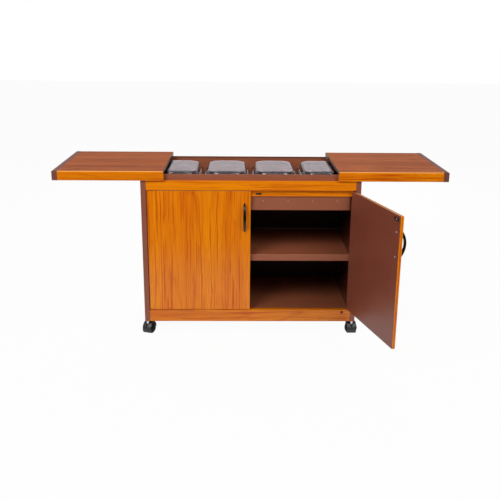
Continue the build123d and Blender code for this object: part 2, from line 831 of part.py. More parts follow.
# Castors, drawn about the middle of the axle
def castor_hood():
    lip = hood_lip_height - wheel_radius
    below_lip = Pos(0, lip - hood_radius) * Rectangle(2 * hood_radius, 2 * hood_radius)
    behind_heel = Pos(hood_heel + hood_radius, -hood_tail - hood_radius) * Rectangle(
        2 * hood_radius, 2 * hood_radius
    )
    outline = Circle(hood_radius) - below_lip - behind_heel
    outline = fillet(outline.vertices(), hood_corner)
    hood = extrude(Plane.YZ * outline, hood_half_width, both=True) & hood_barrel()
    cavity = rod_along_x(hood_cavity, web_half, 2 * hood_half_width, 0, 0)
    hood = hood - cavity - mirrored(cavity)
    hood -= rod_along_x(axle_radius + press_gap, -web_half, web_half, 0, 0)
    stem_y = -castor_trail
    recess = stem_radius + stem_recess_gap
    bore_bottom = stem_seat + seat_gap - pintle_length - pintle_end_gap
    hood -= rod_along_z(pintle_radius + running_gap, 0, stem_y, bore_bottom, stem_seat)
    hood -= rod_along_z(recess, 0, stem_y, stem_seat, hood_radius)
    flare_height = hood_radius - hood_cavity
    flare = Cone(recess, recess + notch_flare, flare_height, align=floor_corner)
    hood -= Pos(0, stem_y, hood_cavity) * flare
    return hood - stem_groove(recess)


def hood_barrel():
    edge = hood_radius - hood_crown
    crown = ThreePointArc((-hood_half_width, edge), (0, hood_radius), (hood_half_width, edge))
    right = (hood_half_width, 0)
    left = (-hood_half_width, 0)
    section = make_face(crown.edges() + Polyline(crown @ 1, right, left, crown @ 0).edges())
    section = fillet(section.vertices().group_by(Axis.Y)[-1], hood_round)
    return revolve(section, Axis.X)


def stem_groove(half):
    low = stem_seat - notch_drop
    corner = low + notch_rise
    right = [(0, low), (half, corner), (half, hood_radius)]
    left = [(-half, hood_radius), (-half, corner)]
    section = make_face(Polyline(*right, *left, close=True))
    depth = hood_radius - castor_trail - pintle_radius - notch_wall
    return Pos(0, depth - hood_radius, 0) * extrude(Plane.XZ * section, depth)


def castor_axle():
    reach = wheel_gap / 2 + wheel_bore_depth - axle_end_gap
    return rod_along_x(axle_radius, -reach, reach, 0, 0)


def castor_wheel():
    inner = wheel_gap / 2
    tread_end = inner + wheel_tread
    bore = axle_radius + running_gap
    bore_end = inner + wheel_bore_depth
    outline = Polyline(
        (tread_end, wheel_radius),
        (inner + wheel_edge, wheel_radius),
        (inner, wheel_radius - wheel_edge),
        (inner, bore),
        (bore_end, bore),
        (bore_end, 0),
        (tread_end + wheel_dome, 0),
    )
    cap_radius = (wheel_radius**2 + wheel_dome**2) / (2 * wheel_dome)
    half = wheel_radius / 2
    rise = wheel_dome - cap_radius + (cap_radius**2 - half**2) ** 0.5
    dome = ThreePointArc((tread_end, wheel_radius), (tread_end + rise, half), (tread_end + wheel_dome, 0))
    section = make_face(outline.edges() + dome.edges())
    return revolve(section, Axis.X)


def at_castor(name, part):
    x, y = corners[name]
    return Pos(x, y, 0) * Rot(0, 0, castor_angles[name]) * Pos(0, castor_trail, wheel_radius) * part


# The nodes of the assembly
nodes = {
    "corner_posts": at_corners(corner_post(), frame_bottom),
    "post_caps": at_corners(post_cap(), rail_top),
    "castor_stems": at_corners(castor_stem(), 0),
    "left_side_panel": mirrored(side_panel()),
    "right_side_panel": side_panel(),
    "back_panel": back_panel(),
    "top_rail": top_rail(),
    "bottom_rail": bottom_rail(),
    "side_liners": both_sides(side_liner()),
    "door_stop_lath": door_stop_lath(),
    "magnetic_catches": magnetic_catches(),
    "cupboard_floor": cupboard_floor(),
    "shelf": shelf(),
    "shelf_pins": shelf_pins(),
    "dish_well": dish_well(),
    "dish_bars": dish_bars(),
    "well_screws": well_screws(),
    "heating_element": heating_element(),
    "thermostat": thermostat(),
    "terminal_box": terminal_box(),
    "leads": leads(),
    "pilot_lamp": pilot_lamp(),
    "cord_gland": cord_gland(),
    "pivot_pins": pivot_pins(),
}
slide_pieces = {
    "top_board": top_board(),
    "aprons": aprons(),
    "end_moulding": end_moulding(),
    "inner_trim": inner_trim(),
    "runners": runners(),
}
for name, piece in slide_pieces.items():
    nodes["right_" + name] = piece
    nodes["left_" + name] = mirrored(piece)
door_pieces = {
    "door": door_panel(),
    "handle": bow_handle(),
    "door_screws": door_screws(),
    "strike_plate": strike_plate(),
    "pivot_plates": pivot_plates(),
}
for name, piece in door_pieces.items():
    nodes["right_" + name] = opened(piece)
    nodes["left_" + name] = mirrored(piece)
for number, x in enumerate(dish_centres, start=1):
    nodes[f"dish_{number}"] = serving_dish(x)
    nodes[f"lid_{number}"] = glass_lid(x)
wheel = castor_wheel()
castor_frame = group([castor_hood(), castor_axle()])
wheel_pair = both_sides(wheel)
for name in corners:
    nodes[f"{name}_castor_hood"] = at_castor(name, castor_frame)
    nodes[f"{name}_castor_wheels"] = at_castor(name, wheel_pair)

os.makedirs("parts", exist_ok=True)
for name, part in nodes.items():
    export_step(part, f"parts/{name}.step")
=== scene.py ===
"""Looks of the food warmer trolley, laid out as an add-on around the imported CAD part."""
import json
import math

import bmesh
import bpy
from mathutils import Matrix, Vector


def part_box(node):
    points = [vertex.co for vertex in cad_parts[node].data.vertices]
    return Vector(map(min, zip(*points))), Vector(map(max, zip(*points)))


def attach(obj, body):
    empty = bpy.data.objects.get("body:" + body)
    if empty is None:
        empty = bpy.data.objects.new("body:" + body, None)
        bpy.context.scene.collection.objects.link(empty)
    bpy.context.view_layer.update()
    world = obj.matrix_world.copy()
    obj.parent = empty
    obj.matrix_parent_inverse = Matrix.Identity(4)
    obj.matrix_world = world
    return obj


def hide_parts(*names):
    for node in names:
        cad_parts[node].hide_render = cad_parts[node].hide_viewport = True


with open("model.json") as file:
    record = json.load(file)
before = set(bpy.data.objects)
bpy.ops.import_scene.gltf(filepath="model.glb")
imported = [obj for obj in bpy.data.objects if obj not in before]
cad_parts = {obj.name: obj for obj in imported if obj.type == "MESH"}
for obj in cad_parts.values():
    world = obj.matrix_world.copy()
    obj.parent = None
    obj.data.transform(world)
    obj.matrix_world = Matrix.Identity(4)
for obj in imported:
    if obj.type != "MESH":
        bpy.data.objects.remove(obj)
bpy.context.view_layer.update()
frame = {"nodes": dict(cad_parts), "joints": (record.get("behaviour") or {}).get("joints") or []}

bl_info = {
    "name": "Food warmer trolley",
    "version": (1, 0, 0),
    "blender": (4, 5, 0),
    "location": "View3D > Sidebar > Trolley",
    "description": "Finishes and detail pieces of a food warmer trolley around its CAD frame",
    "category": "Object",
}

MM = 0.001
FINE_RELIEF = 0.03 * MM
FACE_SKIN = 0.4 * MM
TOUCHING = 0.01 * MM
BLACK, WHITE = (0.0, 0.0, 0.0), (1.0, 1.0, 1.0)
UP, DOWN = Vector((0, 0, 1)), Vector((0, 0, -1))
RIGHT, LEFT = Vector((1, 0, 0)), Vector((-1, 0, 0))
FORWARDS, BACKWARDS = Vector((0, -1, 0)), Vector((0, 1, 0))
CASTORS = ("front_left", "front_right", "rear_left", "rear_right")
SIDES = ("left", "right")
JOINTS = {joint["name"]: joint for joint in frame["joints"]}
DISH_BODIES = {1: "cabinet", 2: "inner_left_dish", 3: "inner_right_dish", 4: "cabinet"}
LID_BODIES = {1: "cabinet", 2: "inner_left_lid", 3: "inner_right_lid", 4: "cabinet"}


def shade(red, green, blue):
    """A screen colour of 0 to 255 as the linear colour that Blender mixes."""

    def linear(value):
        part = value / 255
        return part / 12.92 if part <= 0.04045 else ((part + 0.055) / 1.055) ** 2.4

    return tuple(linear(value) for value in (red, green, blue))


# Settings that a user would change
def colour(label, note, red, green, blue):
    return bpy.props.FloatVectorProperty(
        name=label, description=note, default=shade(red, green, blue), size=3, min=0, max=1, subtype="COLOR"
    )


def length(label, note, millimetres):
    return bpy.props.FloatProperty(
        name=label, description=note, default=millimetres * MM, unit="LENGTH", subtype="DISTANCE", precision=4
    )


def level(label, note, default, kind="FACTOR"):
    return bpy.props.FloatProperty(name=label, description=note, default=default, min=0, subtype=kind)


def tilt(label, note, degrees):
    turn = math.radians(degrees)
    return bpy.props.FloatProperty(name=label, description=note, default=turn, subtype="ANGLE")


class WoodColours(bpy.types.PropertyGroup):
    """Colours of the veneers and boards"""

    teak_light: colour("Teak light", "Light streaks of the teak veneer", 240, 141, 5)
    teak_middle: colour("Teak middle", "Ground colour of the teak veneer", 229, 123, 4)
    teak_dark: colour("Teak dark", "Dark lines of the teak veneer", 182, 50, 0)
    # Painted highlight: a light line on the eased edges of the tops, standing in for the light they catch.
    arris_highlight: colour("Top edges", "Light line on the eased edges of the sliding tops", 250, 190, 104)
    top_light: colour("Top light", "Light streaks of the sliding tops", 196, 102, 32)
    top_middle: colour("Top middle", "Ground colour of the sliding tops", 180, 87, 27)
    top_dark: colour("Top dark", "Dark lines of the sliding tops", 118, 47, 14)
    inside: colour("Door inside", "Brown board on the inside of the doors", 127, 62, 42)
    bare: colour("Door ends", "Bare board at the top and bottom ends of the doors", 208, 152, 100)
    back: colour("Back board", "Brown board of the back panel", 104, 56, 42)


class PaintColours(bpy.types.PropertyGroup):
    """Colours of the painted, moulded and plated parts"""

    enamel: colour("Enamel", "Brown paint of the sheet metal", 150, 85, 57)
    # Painted shade: the posts take a darker copy of the enamel, standing in for the shade on them.
    post: colour("Posts", "Brown paint of the corner posts", 138, 77, 56)
    # Painted shade: this near-black on the cupboard walls and the inner face of the back stands in for the
    # shade inside the cupboard.
    inside: colour("Cupboard walls", "Near-black paint of the cupboard walls", 54, 25, 19)
    moulding: colour("End moulding", "Brown moulding at the outer ends of the tops", 114, 62, 48)
    trim: colour("Edge strip", "Dark strip on the inner ends of the tops", 44, 34, 32)
    nylon: colour("Runners", "Nylon runners under the tops", 196, 188, 172)
    handle: colour("Handles", "Gloss black of the bow handles", 14, 14, 15)
    fittings: colour("Fittings", "Black of catches and strike plates", 22, 21, 22)
    hood: colour("Castor hoods", "Black moulding over the castor wheels", 22, 21, 23)
    wheel: colour("Castor wheels", "Black of the castor wheels", 8, 8, 9)
    lens: colour("Pilot lamp", "Dark red lens of the pilot lamp", 118, 14, 12)
    # Paint on the screw heads, lighter than the well's enamel round them: a painted highlight that stands in
    # for the light on the heads.
    screw: colour("Well screws", "Paint on the heads of the well screws", 178, 122, 100)
    steel: colour("Plated steel", "Zinc plate on screws, pins and bars", 196, 194, 190)
    pole: colour("Catch poles", "Dull steel of the catch poles", 84, 82, 80)
    chrome: colour("Castor stems", "Bright plate on the castor stems", 204, 205, 208)
    element: colour("Heating element", "Heat-stained steel of the heating element", 92, 84, 78)
    electric: colour("Electric parts", "Dark plastic of the terminal box and gland", 38, 38, 40)
    lead: colour("Leads", "Covers of the leads", 206, 200, 186)
    glass: colour("Dish glass", "Tint of the dishes", 238, 244, 244)
    smoke: colour("Lid glass", "Smoky tint of the lids", 186, 164, 176)
    # Painted shade: a dark line in the rounded edges of the lids, standing in for the dark reflection there.
    bend: colour("Lid edges", "Darker tint in the rounded edges of the lids", 60, 66, 74)


class GlassSizes(bpy.types.PropertyGroup):
    """Sizes of the glass dishes and lids"""

    dish_wall: length("Dish wall", "Thickness of a dish", 5.0)
    dish_foot: length("Dish foot", "Rounding between the floor and the walls of a dish", 7.0)
    lug_width: length("Lug width", "Width of the lugs at the ends of a dish", 84.0)
    lid_wall: length("Lid wall", "Thickness of a lid", 4.0)
    lid_crown: length("Lid crown", "Rounding round the top of a lid", 13.0)
    corner: length("Corner", "Corner radius of the rims", 44.0)


class FittingSizes(bpy.types.PropertyGroup):
    """Sizes of the small fittings"""

    screw_head: length("Screw head", "Radius of the heads of the well screws", 3.5)
    screw_height: length("Screw height", "Height of the heads of the well screws", 1.8)
    handle_screw: length("Handle screw", "Radius of the heads of the handle screws", 3.2)
    strike_screw: length("Strike screw", "Radius of the flush heads of the strike plate screws", 3.0)
    rivet: length("Rivet", "Radius of the rivets in the side liners", 2.6)
    wheel_radius: length("Wheel radius", "Radius of the castor wheels", 25.0)


class StageSettings(bpy.types.PropertyGroup):
    """Camera and light"""

    place: bpy.props.FloatVectorProperty(
        name="Camera place",
        description="Where the camera stands",
        default=(-0.0576, -3.1908, 1.2967),
        size=3,
        unit="LENGTH",
        subtype="TRANSLATION",
    )
    pitch: tilt("Camera pitch", "Angle below level", 17.065)
    yaw: tilt("Camera yaw", "Angle to the right", 1.064)
    roll: tilt("Camera roll", "Turn about its own axis", -0.484)
    lens: bpy.props.FloatProperty(
        name="Lens", description="Focal length on a 36 mm sensor, in millimetres", default=52.44, min=1
    )
    ambient: level("Ambient", "Strength of the light from all round", 0.12)
    key: level("Key", "Power of the soft lamp at the front left, in watts", 64, "NONE")
    fill: level("Fill", "Power of the soft lamp at the front right, in watts", 43, "NONE")
    back: level("Back", "Power of the soft lamp behind, in watts", 55.0, "NONE")
    ceiling: level("Ceiling", "Strength of the bright ceiling in front, seen in gloss only", 6.5, "NONE")
    backdrop: level("Backdrop", "Strength of the backdrop where gloss shows it", 0.62)
    floor_white: level("Floor white", "Share of the floor's own white against the light on it", 0.965)


# Materials
class Wire:
    """An output of a node that takes part in Python sums, each of which adds a Math node."""

    def __init__(self, finish, socket):
        self.finish = finish
        self.socket = socket

    def combine(self, operation, first, second):
        return self.finish.add("Math", {"operation": operation}, {0: first, 1: second})

    def __add__(self, other):
        return self.combine("ADD", self, other)

    def __radd__(self, other):
        return self.combine("ADD", other, self)

    def __sub__(self, other):
        return self.combine("SUBTRACT", self, other)

    def __rsub__(self, other):
        return self.combine("SUBTRACT", other, self)

    def __mul__(self, other):
        return self.combine("MULTIPLY", self, other)

    def __rmul__(self, other):
        return self.combine("MULTIPLY", other, self)

    def __gt__(self, other):
        return self.combine("GREATER_THAN", self, other)

    def __lt__(self, other):
        return self.combine("LESS_THAN", self, other)

    def folded(self):
        """Runs up and down between 0 and 1 as the value grows."""
        return self.combine("PINGPONG", self, 1.0)


class Finish:
    """A procedural material, or the world, whose nodes are added by type, settings and sockets."""

    def __init__(self, name, block=None):
        self.block = block or bpy.data.materials.new(name)
        self.block.use_nodes = True
        self.tree = self.block.node_tree

    def add(self, kind, settings=None, values=None, output=0):
        node = self.tree.nodes.new("ShaderNode" + kind)
        for key, value in (settings or {}).items():
            setattr(node, key, value)
        for key, value in (values or {}).items():
            self.plug(node.inputs[key], value)
        return Wire(self, node.outputs[output]) if node.outputs else node

    def plug(self, socket, value):
        if isinstance(value, Wire):
            self.tree.links.new(value.socket, socket)
        elif socket.type == "RGBA":
            socket.default_value = (*value[:3], 1.0)
        else:
            socket.default_value = value

    def point(self):
        return self.add("TexCoord", output="Object")

    def split(self, vector):
        first = self.add("SeparateXYZ", None, {0: vector})
        return [Wire(self, output) for output in first.socket.node.outputs]

    def stretch(self, vector, scale):
        return self.add("Mapping", None, {"Vector": vector, "Scale": scale})

    def noise(self, vector, scale, detail=2.0, roughness=0.5, output=0):
        values = {"Vector": vector, "Scale": scale, "Detail": detail, "Roughness": roughness}
        return self.add("TexNoise", None, values, output)

    def mix(self, mask, low, high):
        return self.add("Mix", {"data_type": "RGBA"}, {0: mask, 6: low, 7: high}, 2)

    def limits(self, value, low, high):
        values = {"Value": value, "From Min": low, "From Max": high}
        return self.add("MapRange", {"clamp": True}, values)

    def bump(self, height, depth=FINE_RELIEF):
        return self.add("Bump", None, {"Height": height, "Distance": depth})

    def surface(self, values):
        shader = self.tree.nodes["Principled BSDF"]
        for key, value in values.items():
            self.plug(shader.inputs[key], value)
        return self


def grain(wood, point, along, tones, strength=1.0):
    """Colour, change of roughness and relief of a veneer whose grain runs along one axis."""
    light, ground, dark = tones
    slow = Vector((1.0, 1.0, 1.0))
    slow["XYZ".index(along)] = 0.0

    def drawn(vector, rate):
        return wood.stretch(vector, slow + (Vector((1, 1, 1)) - slow) * rate)

    swayed = point
    for rate, scale, reach in ((0.20, 7.0, 0.016), (0.45, 26.0, 0.005)):
        wander = wood.noise(drawn(point, rate), scale, 1.0, output="Color")
        centred = wood.add("VectorMath", {"operation": "SUBTRACT"}, {0: wander, 1: (0.5, 0.5, 0.5)})
        sway = wood.add("VectorMath", {"operation": "SCALE"}, {0: centred, "Scale": reach})
        swayed = wood.add("VectorMath", {"operation": "ADD"}, {0: swayed, 1: sway})
    tone = wood.limits(wood.noise(drawn(swayed, 0.03), 13.0, 3.0, 0.6), 0.34, 0.66)
    bands = wood.limits(wood.noise(drawn(swayed, 0.02), 34.0, 3.0, 0.6), 0.52, 0.70)
    lines = wood.limits(wood.noise(drawn(swayed, 0.016), 140.0, 2.0, 0.55), 0.55, 0.63)
    fibres = wood.limits(wood.noise(drawn(swayed, 0.020), 280.0, 2.0, 0.6), 0.46, 0.64)
    rings = (wood.noise(drawn(swayed, 0.11), 6.0, 1.0) * 22).folded()
    figure = wood.limits(rings, 0.34, 0.0) * wood.limits(wood.noise(point, 3.0, 1.0), 0.44, 0.58)
    pores = wood.limits(wood.noise(drawn(point, 0.03), 900.0, 1.0), 0.60, 0.72)
    base = wood.mix(tone, ground, light)
    fibred = wood.mix((fibres * 0.36 + pores * 0.08) * strength, base, dark)
    banded = wood.mix((bands * 0.30 + figure * 0.34) * strength, fibred, dark)
    streak = tone - lines
    return wood.mix(lines * (0.56 * strength), banded, dark), streak * -0.04 + pores * 0.08, streak - pores


def blend(first, second, share):
    """A colour between two colours."""
    return tuple(a + (b - a) * share for a, b in zip(first, second))


def teak_tones(settings):
    return settings.teak_light[:], settings.teak_middle[:], settings.teak_dark[:]


def veneer(name, along, tones, roughness=0.16, shine=0.36, strength=1.0):
    """Lacquered veneer all over a piece."""
    wood = Finish(name)
    colours, dulling, relief = grain(wood, wood.point(), along, tones, strength)
    return wood.surface(
        {
            "Base Color": colours,
            "Roughness": roughness + dulling,
            "Specular IOR Level": shine,
            "Normal": wood.bump(relief),
        }
    )


def top_finish(settings):
    """Laminate on a sliding top, with teak edging that takes a light colour where its edge is eased: a
    painted highlight.
    """
    board = Finish("top_laminate")
    tones = settings.top_light[:], settings.top_middle[:], settings.top_dark[:]
    laminate, dulling, relief = grain(board, board.point(), "X", tones, 1.5)
    edging, _, _ = grain(board, board.point(), "X", teak_tones(settings), 0.6)
    rise = board.split(board.add("TexCoord", output="Normal"))[2]
    edge = board.limits(rise, 0.97, 0.90)
    # Painted highlight on the eased edge.
    eased = edge * board.limits(rise, 0.25, 0.60)
    return board.surface(
        {
            "Base Color": board.mix(eased, board.mix(edge, laminate, edging), settings.arris_highlight[:]),
            "Roughness": 0.50 - edge * 0.30 + dulling,
            "Specular IOR Level": 0.10,
            "Normal": board.bump(relief),
        }
    )


def door_finish(name, settings, hinge):
    """Teak outside and on the edges, plain brown board on the inner face, bare board at the ends."""
    door = Finish(name)
    point = door.point()
    rest = math.radians(-hinge["range_deg"][0])
    if rest:
        pivot = Vector(hinge["pos_m"])
        shift = pivot - Matrix.Rotation(-rest, 3, "Z") @ pivot
        point = door.add("Mapping", None, {"Vector": point, "Location": shift, "Rotation": (0, 0, -rest)})
    colours, dulling, relief = grain(door, point, "Z", teak_tones(settings))
    depth = door.split(point)[1]
    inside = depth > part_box("left_door")[1].y - FACE_SKIN
    outside = 1 - inside
    cloud = door.noise(point, 9.0, 3.0)
    fleck = door.noise(point, 700.0, 2.0)
    board = door.mix(cloud, blend(settings.inside, BLACK, 0.10), blend(settings.inside, WHITE, 0.02))
    rise = door.split(door.add("TexCoord", output="Normal"))[2]
    ends = door.limits(rise.folded(), 0.80, 0.95)
    chips = door.mix(fleck, blend(settings.bare, BLACK, 0.18), settings.bare[:])
    return door.surface(
        {
            "Base Color": door.mix(ends, door.mix(inside, colours, board), chips),
            "Roughness": outside * (0.16 + dulling) + inside * (0.34 + fleck * 0.10),
            "Specular IOR Level": 0.36,
            "Normal": door.bump(outside * relief + inside * fleck),
        }
    )


def coating(
    name, tone, spread, roughness, metal=0.0, shine=0.5, peel=380.0, depth=FINE_RELIEF, drawn=(1, 1, 1)
):
    """Paint, moulded plastic or plate: a cloudy colour over a fine surface grain."""
    coat = Finish(name)
    point = coat.point()
    cloud = coat.limits(coat.noise(point, 8.0, 3.0), 0.3, 0.7)
    fine = coat.noise(coat.stretch(point, drawn), peel, 2.0)
    low = tuple(part * (1 - spread) for part in tone)
    high = tuple(min(1.0, part * (1 + spread)) for part in tone)
    return coat.surface(
        {
            "Base Color": coat.mix(cloud * 0.6 + fine * 0.4, low, high),
            "Roughness": roughness + fine * 0.10 + cloud * 0.05,
            "Metallic": metal,
            "Specular IOR Level": shine,
            "Normal": coat.bump(fine, depth),
        }
    )


def back_finish(outside, inside):
    """Brown board on the outside of the back panel; the face towards the cupboard is painted near-black, a
    painted shade for the dark inside of the cupboard.
    """
    back = Finish("back_board")
    point = back.point()
    depth = back.split(point)[1]
    fleck = back.noise(point, 700.0, 2.0)
    cloud = back.noise(point, 8.0, 3.0)
    board = back.mix(cloud * 0.6 + fleck * 0.4, blend(outside, BLACK, 0.12), blend(outside, WHITE, 0.03))
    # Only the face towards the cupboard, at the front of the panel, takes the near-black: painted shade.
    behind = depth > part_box("back_panel")[0].y + FACE_SKIN
    return back.surface(
        {
            "Base Color": back.mix(behind, inside, board),
            "Roughness": 0.48 + fleck * 0.10,
            "Specular IOR Level": 0.4,
            "Normal": back.bump(fleck),
        }
    )


def clear_glass(name, tint, edge):
    """Glass whose colour is painted darker where it bends: a painted shade standing in for the dark
    reflection in the bend.
    """
    glass = Finish(name)
    smear = glass.noise(glass.point(), 30.0, 3.0)
    rise = glass.split(glass.add("TexCoord", output="Normal"))[2]
    # Mask of the bends, where the glass takes the darker edge colour: painted shade.
    bend = glass.limits(rise, 0.30, 0.48) * glass.limits(rise, 0.97, 0.86)
    return glass.surface(
        {
            "Base Color": glass.mix(bend, tint, edge),
            "Roughness": 0.02 + glass.limits(smear, 0.45, 0.8) * 0.02,
            "Transmission Weight": 1.0,
            "IOR": 1.47,
        }
    )


def paint(finish, *names):
    """Gives CAD nodes a finish."""
    for name in names:
        for slot in frame["nodes"][name].material_slots:
            slot.material = finish.block


# Modelling by hand
def start(name, primitive, stretch=(1, 1, 1), **options):
    """Adds a primitive at its size and place, and opens it for editing with nothing selected."""
    bpy.ops.object.select_all(action="DESELECT")
    primitive(**options)
    piece = bpy.context.object
    piece.name = piece.data.name = name
    piece.scale = stretch
    bpy.ops.object.transform_apply(location=True, rotation=True, scale=True)
    bpy.ops.object.mode_set(mode="EDIT")
    bpy.ops.mesh.select_all(action="DESELECT")
    return piece


def cylinder(name, sides, radius, height, base=0.0):
    """A cylinder that stands at a height over the XY plane, open for editing."""
    add, spot = bpy.ops.mesh.primitive_cylinder_add, (0, 0, base + height / 2)
    return start(name, add, vertices=sides, radius=radius, depth=height, location=spot)


def slab(name, size, z):
    """A box whose middle is at a height over the XY plane, open for editing."""
    return start(name, bpy.ops.mesh.primitive_cube_add, size, size=1, location=(0, 0, z))


def pick(piece, test, kind="faces"):
    """Selects the faces, edges or vertices of the edited piece that pass a test."""
    bpy.context.tool_settings.mesh_select_mode = (kind == "verts", kind == "edges", kind == "faces")
    mesh = bmesh.from_edit_mesh(piece.data)
    for group in (mesh.faces, mesh.edges, mesh.verts):
        for part in group:
            part.select = False
    for part in getattr(mesh, kind):
        if test(part):
            part.select_set(True)
    mesh.select_flush_mode()
    bmesh.update_edit_mesh(piece.data)


def pick_side(piece, direction):
    """Selects the faces of the edited piece that look in a direction."""
    pick(piece, lambda f: f.normal.dot(direction) > 0.9)


def middle(part):
    """The middle of a face or an edge."""
    return sum((v.co for v in part.verts), Vector()) / len(part.verts)


def push(move, scale=(1, 1, 1)):
    """Extrudes what is selected, then scales it about the origin."""
    bpy.ops.mesh.extrude_region_move(TRANSFORM_OT_translate={"value": move})
    if tuple(scale) != (1, 1, 1):
        bpy.ops.transform.resize(value=scale, center_override=(0, 0, 0))


def close(piece, angle=35.0):
    """Ends the editing of a piece and smooths its shading up to an angle."""
    bpy.ops.object.mode_set(mode="OBJECT")
    bpy.ops.object.select_all(action="DESELECT")
    piece.select_set(True)
    bpy.context.view_layer.objects.active = piece
    bpy.ops.object.shade_smooth_by_angle(angle=math.radians(angle))
    return piece


def modify(piece, kind, **settings):
    """Adds a modifier and applies it."""
    bpy.context.view_layer.objects.active = piece
    tool = piece.modifiers.new(kind.lower(), kind)
    for key, value in settings.items():
        setattr(tool, key, value)
    bpy.ops.object.modifier_apply(modifier=tool.name)


def copied(piece, name, matrix):
    """A copy with its own mesh, whose points a matrix moves into place."""
    twin = piece.copy()
    twin.data = piece.data.copy()
    twin.name = twin.data.name = name
    twin.data.transform(matrix)
    if matrix.determinant() < 0:
        twin.data.flip_normals()
    bpy.context.scene.collection.objects.link(twin)
    return twin


def joined(pieces, name):
    """Several pieces made one."""
    bpy.ops.object.select_all(action="DESELECT")
    for piece in pieces:
        piece.select_set(True)
    bpy.context.view_layer.objects.active = pieces[0]
    if len(pieces) > 1:
        bpy.ops.object.join()
    pieces[0].name = pieces[0].data.name = name
    return pieces[0]


def repeated(pattern, name, spots):
    """One piece of copies of a pattern, with one at each spot."""
    return joined([copied(pattern, f"{name}_{i}", spot) for i, spot in enumerate(spots)], name)


def place(piece, finish, body, slot, *nodes):
    """Gives a finished piece its material and body, and hides the nodes it stands for; its slot is not used.
    """
    piece.data.materials.clear()
    piece.data.materials.append(finish.block)
    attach(piece, body)
    if nodes:
        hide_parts(*nodes)


def discard(*pieces):
    """Removes patterns and cutters that have done their work."""
    for piece in pieces:
        bpy.data.objects.remove(piece)


def centre(node):
    """The middle of a CAD node's box."""
    low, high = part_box(node)
    return (low + high) / 2


def both(part):
    """The names of a part's left and right nodes."""
    return [f"{side}_{part}" for side in SIDES]


def facing(direction, spot):
    """The matrix that turns +Z to a direction and moves the origin to a spot."""
    return Matrix.Translation(spot) @ direction.to_track_quat("Z", "Y").to_matrix().to_4x4()


# Glass
def rounded_plate(name, width, depth, corner, z):
    """A flat plate with rounded corners, open for editing."""
    piece = start(name, bpy.ops.mesh.primitive_plane_add, (width, depth, 1), size=1, location=(0, 0, z))
    pick(piece, lambda v: True, "verts")
    bpy.ops.mesh.bevel(offset=corner, segments=9, affect="VERTICES")
    return piece


def ring_up(rings):
    """Extrudes the selected plate through rings of (width, depth, height)."""
    for before, after in zip(rings, rings[1:]):
        scale = (after[0] / before[0], after[1] / before[1], 1)
        push((0, 0, after[2] - before[2]), scale)


def glass_shell(name, rings, corner, cuts=()):
    """An open shell through rings of (width, depth, height), from its flat middle out to its rim."""
    piece = rounded_plate(name, rings[0][0], rings[0][1], corner, rings[0][2])
    for x in cuts:
        bpy.ops.mesh.select_all(action="SELECT")
        bpy.ops.mesh.bisect(plane_co=(x, 0, 0), plane_no=(1, 0, 0))
    bpy.ops.mesh.select_all(action="SELECT")
    bpy.context.tool_settings.mesh_select_mode = (False, False, True)
    ring_up(rings)
    caps = {f.index for f in bmesh.from_edit_mesh(piece.data).faces if f.select}
    bpy.ops.mesh.select_all(action="SELECT")
    bpy.ops.mesh.normals_make_consistent(inside=False)
    pick(piece, lambda f: f.index in caps)
    bpy.ops.mesh.delete(type="FACE")
    return piece


def smooth_glass(piece, wall):
    """Gives a shell its wall and rounds its rim."""
    close(piece)
    modify(piece, "SOLIDIFY", thickness=wall, offset=-1.0, use_even_offset=True)
    modify(piece, "BEVEL", width=wall * 0.28, segments=3, limit_method="ANGLE", angle_limit=math.radians(50))
    return close(piece, 50.0)


def serving_dish(sizes):
    """A deep dish with a flat rim and a lug at each end."""
    low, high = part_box("dish_2")
    lid_low, lid_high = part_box("lid_2")
    lid_inset = 2 * MM
    width, depth = high.x - low.x, lid_high.y - lid_low.y + 2 * lid_inset
    wall, foot = sizes.dish_wall, sizes.dish_foot
    under_rim = high.z - wall
    taper = 38 * MM
    profile = [
        (taper + 3 * foot, low.z),
        (taper + 2 * foot, low.z),
        (taper + 0.8 * foot, low.z + 0.2 * foot),
        (taper + 0.2 * foot, low.z + 0.6 * foot),
        (taper - 1 * MM, low.z + 1.4 * foot),
        (16 * MM, under_rim - 6 * MM),
        (13 * MM, under_rim - 2 * MM),
        (9 * MM, under_rim),
        (0.0, under_rim),
    ]
    rings = [(width - narrower, depth - narrower, z) for narrower, z in profile]
    cut = sizes.lug_width / 2 * rings[0][0] / width
    dish = glass_shell("dish_pattern", rings, sizes.corner * 0.78, (-cut, cut))
    for end in (-1, 1):
        edge = end * depth / 2
        reach = end * (high.y - depth / 2)
        pick(dish, lambda e: abs(middle(e).y - edge) < TOUCHING and abs(middle(e).x) < 1 * MM, "edges")
        for step, narrow in ((0.45, 0.94), (0.35, 0.86), (0.20, 0.72)):
            push((0, reach * step, 0), (narrow, 1, 1))
    return smooth_glass(dish, wall)


def glass_lid(sizes):
    """A domed lid with a rounded crown, leaning walls and a narrow flange."""
    low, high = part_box("lid_2")
    width, depth = high.x - low.x, high.y - low.y
    wall, seat_gap = sizes.lid_wall, 0.3 * MM
    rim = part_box("dish_2")[1].z + seat_gap + wall
    rise = high.z - rim
    crown, lean, flange, foot = sizes.lid_crown, 8 * MM, 5 * MM, 3 * MM
    slope = math.atan2(lean, rise)
    inset = ((rise - crown) * math.sin(slope) + crown) / math.cos(slope)
    profile = [(-6 * MM - inset, rise), (-inset, rise)]
    for turn in (75, 60, 45, 32, math.degrees(slope)):
        angle = math.radians(turn)
        profile.append((crown * math.cos(angle) - inset, rise - crown + crown * math.sin(angle)))
    profile += [(-lean * foot / rise, foot), (0.4 * MM, 0.8 * MM), (1.8 * MM, 0.0), (flange, 0.0)]
    base = (width / 2 - flange, depth / 2 - flange)
    rings = [(2 * (base[0] + out), 2 * (base[1] + out), rim + up) for out, up in profile]
    lid = glass_shell("lid_pattern", rings, sizes.corner * 0.95)
    return smooth_glass(lid, wall)


